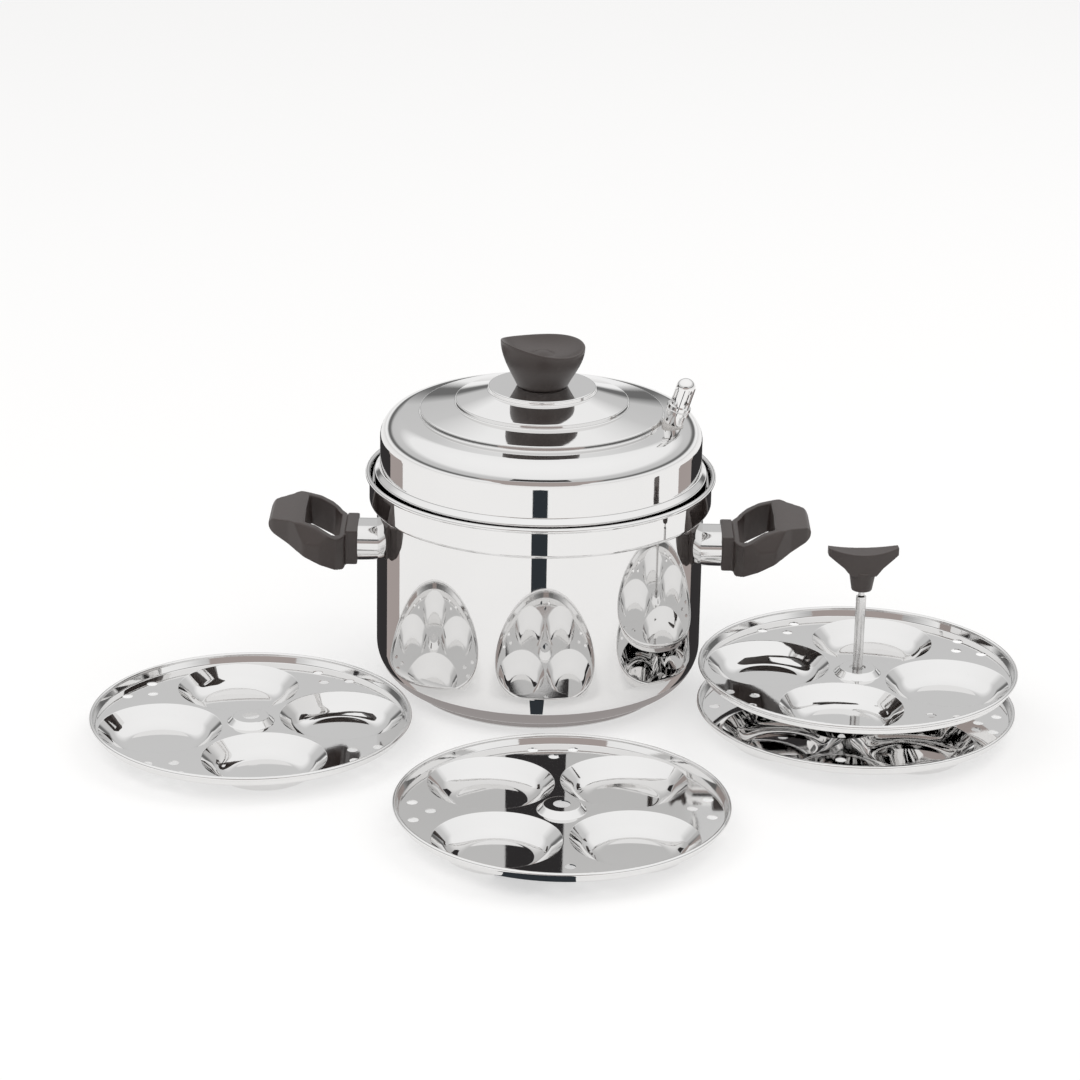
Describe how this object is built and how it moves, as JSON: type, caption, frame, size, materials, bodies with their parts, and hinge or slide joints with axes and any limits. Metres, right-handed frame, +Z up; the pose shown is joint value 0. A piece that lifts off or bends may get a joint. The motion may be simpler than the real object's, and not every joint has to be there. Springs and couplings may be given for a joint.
{
  "type": "idli steamer",
  "caption": "Steel idli steamer: a pot with side handles, a stepped lid with a knob and steam vent, dished idli plates and a plate rack with a lifting knob.",
  "frame": {"origin": "middle of the pot's base, on the table", "axes": "+Z up along the pot's axis, +X through the right handle, -Y towards the front plate"},
  "size_m": [0.6129, 0.4652, 0.2457],
  "materials": {
    "pot_steel": "mirror polished stainless steel",
    "base_steel": "satin stainless steel",
    "base_aluminium": "pressed aluminium core",
    "bracket_steel": "spot-welded stainless steel",
    "sleeve_steel": "mirror polished stainless steel",
    "grip_bakelite": "satin moulded bakelite",
    "knob_bakelite": "satin moulded bakelite",
    "screw_steel": "plain stainless steel",
    "lid_steel": "mirror polished stainless steel",
    "insert_brass": "turned brass",
    "vent_chrome": "bright chrome",
    "gasket_silicone": "silicone rubber",
    "plate_steel": "mirror polished stainless steel",
    "rod_steel": "polished stainless steel"
  },
  "bodies": {
    "pot": {"pot_shell": "pot_steel", "base_core": "base_aluminium", "base_cap": "base_steel", "left_handle_bracket": "bracket_steel", "left_handle_sleeve": "sleeve_steel", "left_handle_grip": "grip_bakelite", "left_handle_screw": "screw_steel", "right_handle_bracket": "bracket_steel", "right_handle_sleeve": "sleeve_steel", "right_handle_grip": "grip_bakelite", "right_handle_screw": "screw_steel"},
    "lid": {"lid_shell": "lid_steel", "lid_knob": "knob_bakelite", "lid_knob_insert": "insert_brass", "lid_knob_screw": "screw_steel", "lid_knob_washer": "screw_steel", "vent_stem": "vent_chrome", "vent_gasket": "gasket_silicone", "vent_locknut": "screw_steel", "vent_collar": "vent_chrome"},
    "vent_cap": {"vent_cap": "vent_chrome"},
    "left_plate": {"left_plate": "plate_steel"},
    "front_plate": {"front_plate": "plate_steel"},
    "rack": {"rack_rod": "rod_steel", "rack_foot": "rod_steel", "rack_washer": "screw_steel", "rack_spacer": "rod_steel"},
    "rack_lower_plate": {"rack_lower_plate": "plate_steel"},
    "rack_upper_plate": {"rack_upper_plate": "plate_steel"},
    "rack_knob": {"rack_knob": "knob_bakelite", "rack_knob_insert": "insert_brass"}
  },
  "joints": [
    {"name": "lid_lift", "type": "slide", "parent": "pot", "child": "lid", "axis": [0, 0, 1], "range_m": [0, 0.15]},
    {"name": "vent_cap_lift", "type": "slide", "parent": "lid", "child": "vent_cap", "axis": [0.2849, -0.0658, 0.9563], "range_m": [0, 0.003]},
    {"name": "left_plate_lift", "type": "slide", "parent": "pot", "child": "left_plate", "axis": [-0.4295, -0.2597, 0.8649], "range_m": [0, 0.15]},
    {"name": "front_plate_lift", "type": "slide", "parent": "pot", "child": "front_plate", "axis": [0, 0, 1], "range_m": [0, 0.15]},
    {"name": "rack_lift", "type": "slide", "parent": "pot", "child": "rack", "axis": [0.6646, -0.2429, 0.7066], "range_m": [0, 0.15]},
    {"name": "rack_lower_plate_turn", "type": "hinge", "parent": "rack", "child": "rack_lower_plate", "pos_m": [0.21291, -0.07581, 0.016], "axis": [0, 0, 1], "continuous": true},
    {"name": "rack_upper_plate_turn", "type": "hinge", "parent": "rack", "child": "rack_upper_plate", "pos_m": [0.21291, -0.07581, 0.044], "axis": [0, 0, 1], "continuous": true},
    {"name": "rack_knob_turn", "type": "hinge", "parent": "rack", "child": "rack_knob", "pos_m": [0.21291, -0.07581, 0.1], "axis": [0, 0, 1], "continuous": true}
  ]
}
